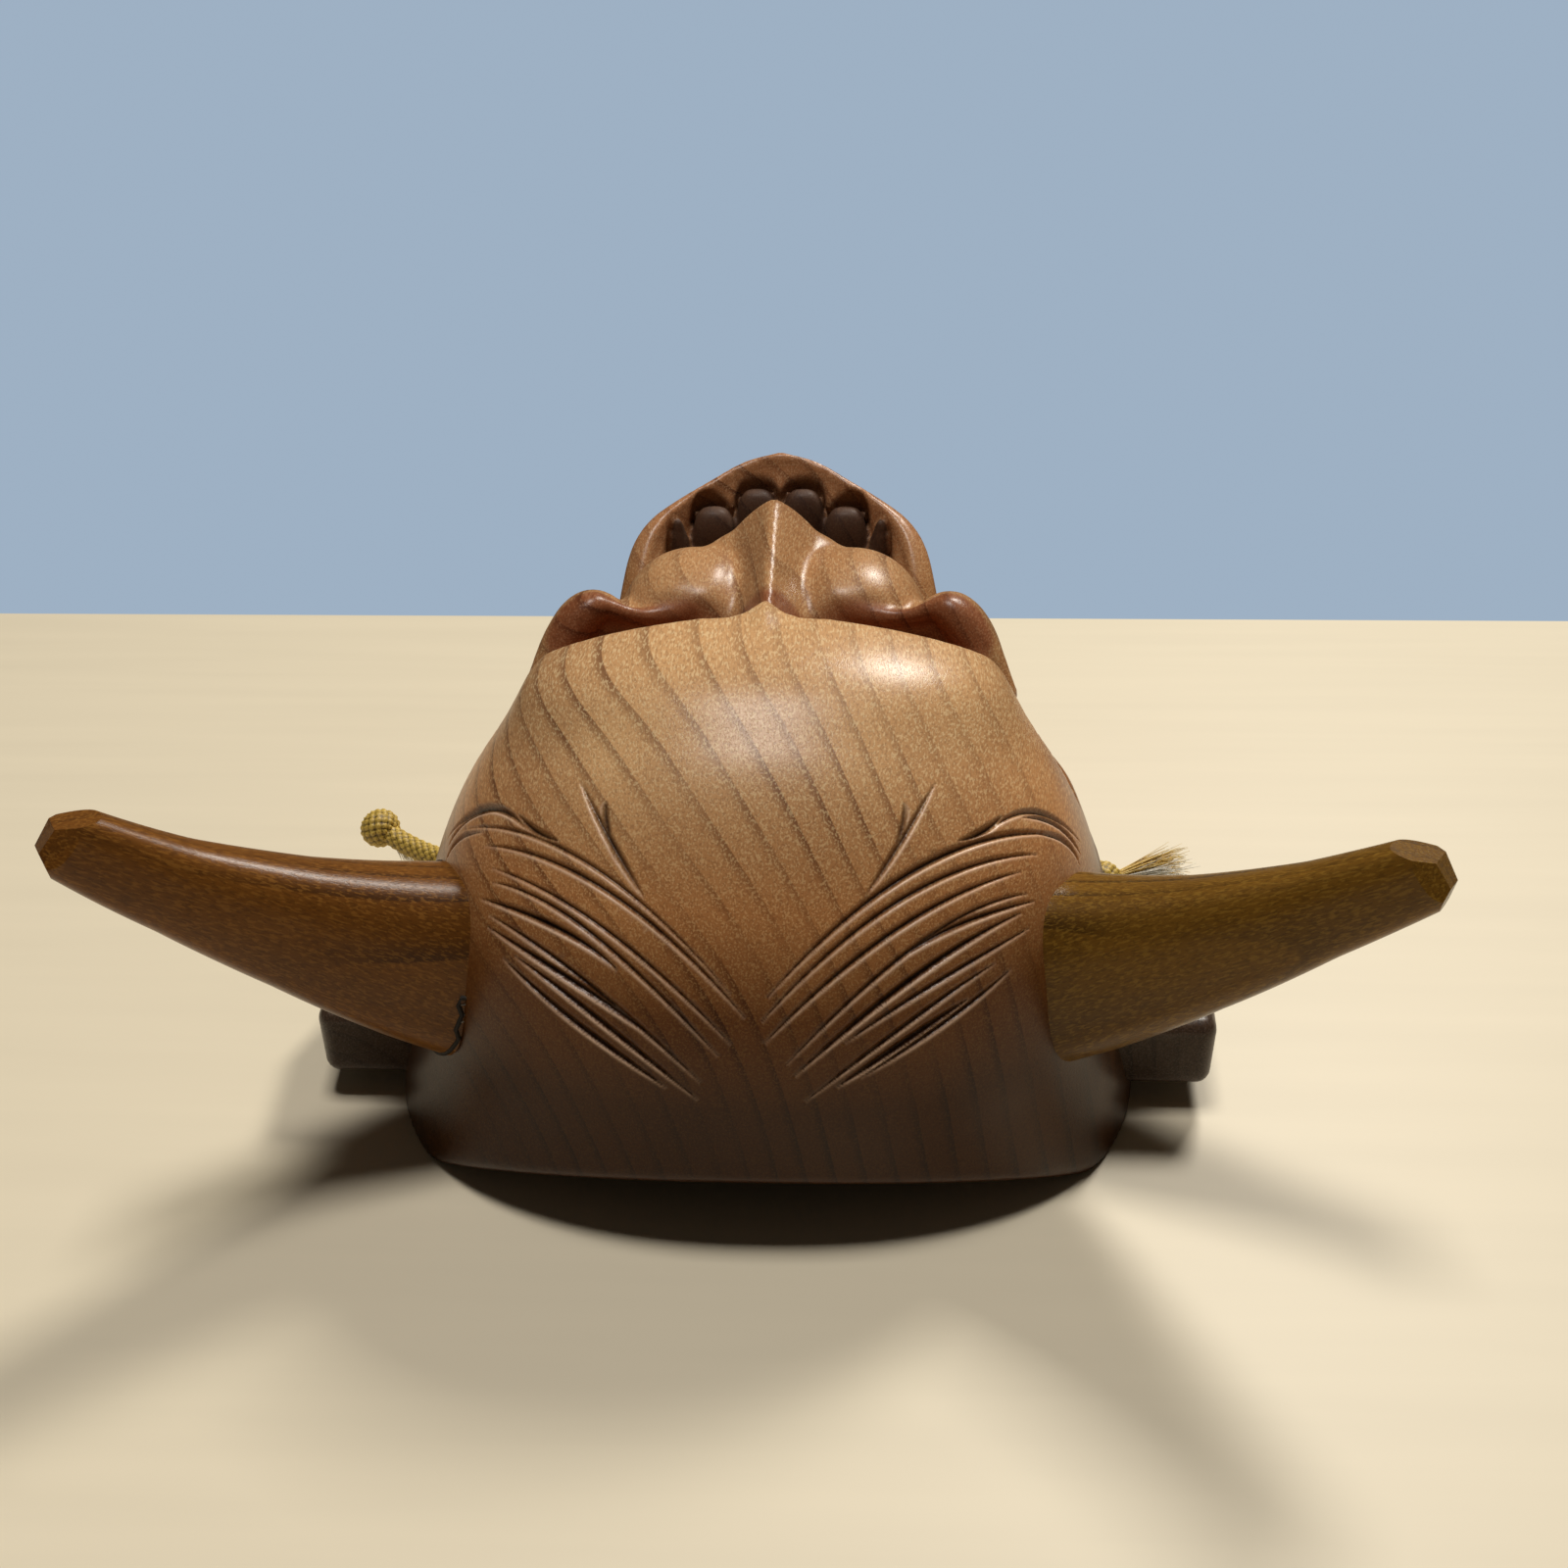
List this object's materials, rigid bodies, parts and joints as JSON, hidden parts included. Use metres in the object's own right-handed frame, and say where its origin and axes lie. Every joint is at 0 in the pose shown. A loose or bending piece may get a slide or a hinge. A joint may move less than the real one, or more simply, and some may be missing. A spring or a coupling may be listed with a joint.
{
  "type": "noh mask",
  "caption": "Horned theatre mask of varnished carved wood with open mouth, hollow back, glued horns and ears, and a gold hanging cord with knotted ends.",
  "frame": {"origin": "middle of the plane that the mask rests on when it lies on its back, half way between crown and chin", "axes": "+X across the face, +Y from crown to chin, +Z out of the face; the mask lies on its back, face up"},
  "size_m": [0.2448, 0.212, 0.109],
  "materials": {
    "mask_wood": "satin varnish over carved brown hardwood",
    "horn_wood_left": "satin varnish, reddish brown",
    "horn_wood_right": "satin varnish, golden brown",
    "ear_wood": "satin varnish, dark",
    "dowel_wood": "bare",
    "gold_cord": "braided silky thread",
    "cotton_core": "loose cotton",
    "gold_strands": "frayed silky thread"
  },
  "bodies": {
    "mask": {"mask_shell": "mask_wood", "horn_left": "horn_wood_left", "horn_dowel_left": "dowel_wood", "ear_left": "ear_wood", "ear_dowels_left": "dowel_wood", "cord_through_left": "gold_cord", "horn_right": "horn_wood_right", "horn_dowel_right": "dowel_wood", "ear_right": "ear_wood", "ear_dowels_right": "dowel_wood", "cord_through_right": "gold_cord"},
    "cord_end_left": {"cord_drop_left": "gold_cord", "stopper_knot_left": "gold_cord", "cord_core_left": "cotton_core", "frayed_tuft_left": "gold_strands"},
    "cord_end_right": {"cord_drop_right": "gold_cord", "stopper_knot_right": "gold_cord", "cord_core_right": "cotton_core", "frayed_tuft_right": "gold_strands"},
    "cord_loop": {"hanging_cord": "gold_cord"}
  },
  "joints": [
    {"name": "cord_end_left_swing", "type": "hinge", "parent": "mask", "child": "cord_end_left", "pos_m": [-0.0798, 0.012, 0.014], "axis": [0, 1, 0], "range_deg": [-45, 50]},
    {"name": "cord_end_right_swing", "type": "hinge", "parent": "mask", "child": "cord_end_right", "pos_m": [0.0798, 0.012, 0.014], "axis": [0, -1, 0], "range_deg": [-20, 50]},
    {"name": "cord_loop_swing", "type": "hinge", "parent": "mask", "child": "cord_loop", "pos_m": [0, 0.012, 0.014], "axis": [1, 0, 0], "range_deg": [-50, 100]}
  ]
}
